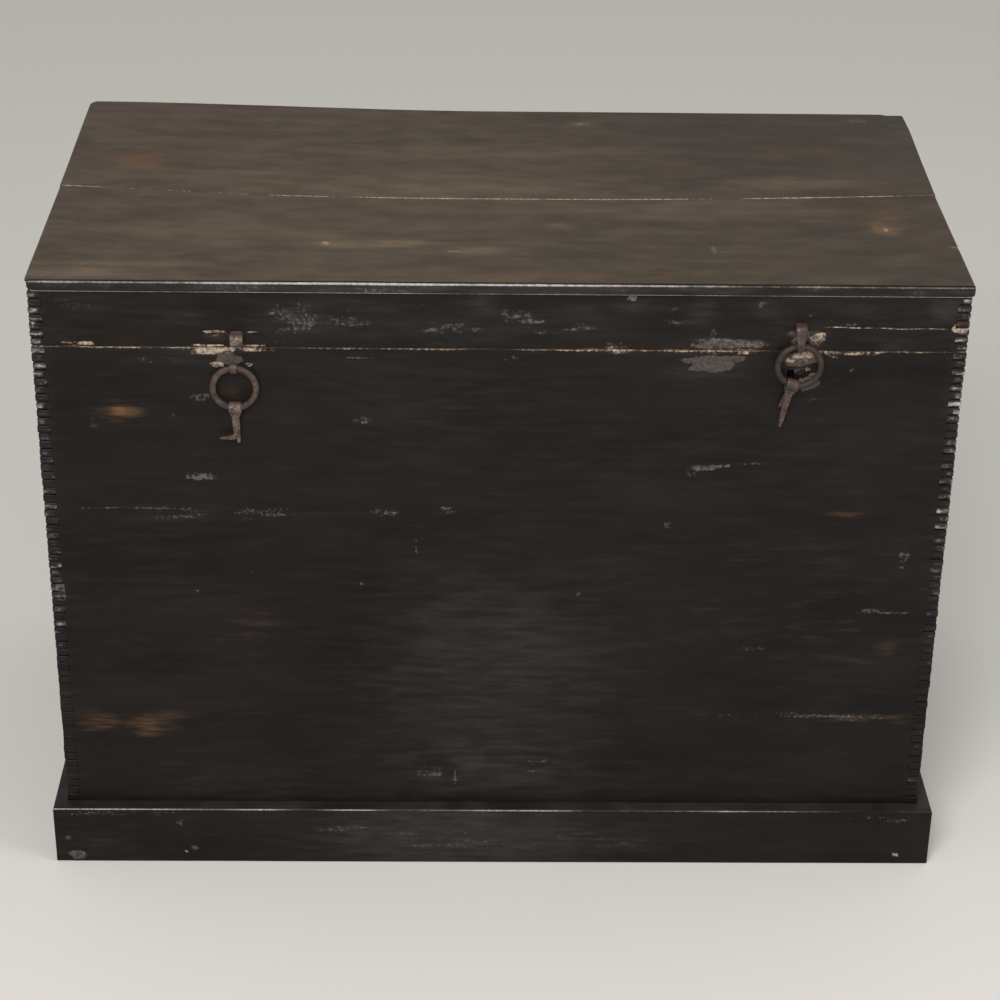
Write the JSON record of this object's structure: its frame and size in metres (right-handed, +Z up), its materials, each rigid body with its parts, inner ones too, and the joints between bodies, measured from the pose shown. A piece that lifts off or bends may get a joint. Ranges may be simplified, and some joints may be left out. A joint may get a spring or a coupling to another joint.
{
  "type": "lacquer coffer",
  "caption": "Black lacquered wooden trunk with finger-jointed corners, a flat hinged lid, a moulded plinth, and iron ring fastenings with split pegs.",
  "frame": {"origin": "centre of the plinth's footprint, on the floor", "axes": "+X along the trunk's length to the right as seen from the front, +Y to the back, +Z up"},
  "size_m": [0.928, 0.52, 0.6658],
  "materials": {
    "black_lacquer": "aged black lacquer on wood, worn and scuffed, satin",
    "worn_lid_lacquer": "black lacquer worn to a grey-brown on the lid boards, satin",
    "bare_wood": "bare aged wood, matt",
    "wrought_iron": "hand-forged iron, rusty brown and matt"
  },
  "bodies": {
    "case": {"front_board_bottom": "black_lacquer", "front_board_middle": "black_lacquer", "front_board_top": "black_lacquer", "back_board_bottom": "black_lacquer", "back_board_middle": "black_lacquer", "back_board_top": "black_lacquer", "left_board_bottom": "black_lacquer", "left_board_middle": "black_lacquer", "left_board_top": "black_lacquer", "right_board_bottom": "black_lacquer", "right_board_middle": "black_lacquer", "right_board_top": "black_lacquer", "plinth_front": "black_lacquer", "plinth_back": "black_lacquer", "plinth_left": "black_lacquer", "plinth_right": "black_lacquer", "bottom_board_front": "bare_wood", "bottom_board_middle": "bare_wood", "bottom_board_back": "bare_wood", "hinge_left_case_leaf": "wrought_iron", "hinge_left_pin": "wrought_iron", "hinge_left_case_nail_1": "wrought_iron", "hinge_left_case_nail_2": "wrought_iron", "hinge_right_case_leaf": "wrought_iron", "hinge_right_pin": "wrought_iron", "hinge_right_case_nail_1": "wrought_iron", "hinge_right_case_nail_2": "wrought_iron", "case_eye_left": "wrought_iron", "handle_left_eye_1": "wrought_iron", "handle_left_eye_2": "wrought_iron", "handle_right_eye_1": "wrought_iron", "handle_right_eye_2": "wrought_iron"},
    "lid": {"lid_rim_front": "black_lacquer", "lid_rim_back": "black_lacquer", "lid_rim_left": "black_lacquer", "lid_rim_right": "black_lacquer", "lid_top_front": "worn_lid_lacquer", "lid_top_back": "worn_lid_lacquer", "hinge_left_lid_leaf": "wrought_iron", "hinge_left_lid_nail_1": "wrought_iron", "hinge_left_lid_nail_2": "wrought_iron", "hinge_right_lid_leaf": "wrought_iron", "hinge_right_lid_nail_1": "wrought_iron", "hinge_right_lid_nail_2": "wrought_iron", "lid_eye_left": "wrought_iron", "lid_eye_right": "wrought_iron"},
    "ring_left": {"ring_left": "wrought_iron"},
    "ring_right": {"ring_right": "wrought_iron"},
    "peg_left": {"peg_left": "wrought_iron"},
    "peg_right": {"peg_right": "wrought_iron"},
    "handle_left": {"handle_left": "wrought_iron"},
    "handle_right": {"handle_right": "wrought_iron"}
  },
  "joints": [
    {"name": "lid_hinge", "type": "hinge", "parent": "case", "child": "lid", "pos_m": [0, 0.2507, 0.59625], "axis": [-1, 0, 0], "range_deg": [0, 105]},
    {"name": "ring_left_swing", "type": "hinge", "parent": "case", "child": "ring_left", "pos_m": [-0.256, -0.25275, 0.5771], "axis": [-1, 0, 0], "range_deg": [0, 110]},
    {"name": "peg_left_swing", "type": "hinge", "parent": "ring_left", "child": "peg_left", "pos_m": [-0.256, -0.25275, 0.5354], "axis": [-1, 0, 0], "range_deg": [0, 90]},
    {"name": "ring_right_swing", "type": "hinge", "parent": "lid", "child": "ring_right", "pos_m": [0.288, -0.25275, 0.6045], "axis": [-1, 0, 0], "range_deg": [0, 110]},
    {"name": "peg_right_swing", "type": "hinge", "parent": "ring_right", "child": "peg_right", "pos_m": [0.28225, -0.25275, 0.56361], "axis": [-0.9613, 0, 0.2756], "range_deg": [0, 90]},
    {"name": "handle_left_swing", "type": "hinge", "parent": "case", "child": "handle_left", "pos_m": [-0.457, 0, 0.461], "axis": [0, 1, 0], "range_deg": [0, 165]},
    {"name": "handle_right_swing", "type": "hinge", "parent": "case", "child": "handle_right", "pos_m": [0.457, 0, 0.461], "axis": [0, -1, 0], "range_deg": [0, 165]}
  ]
}
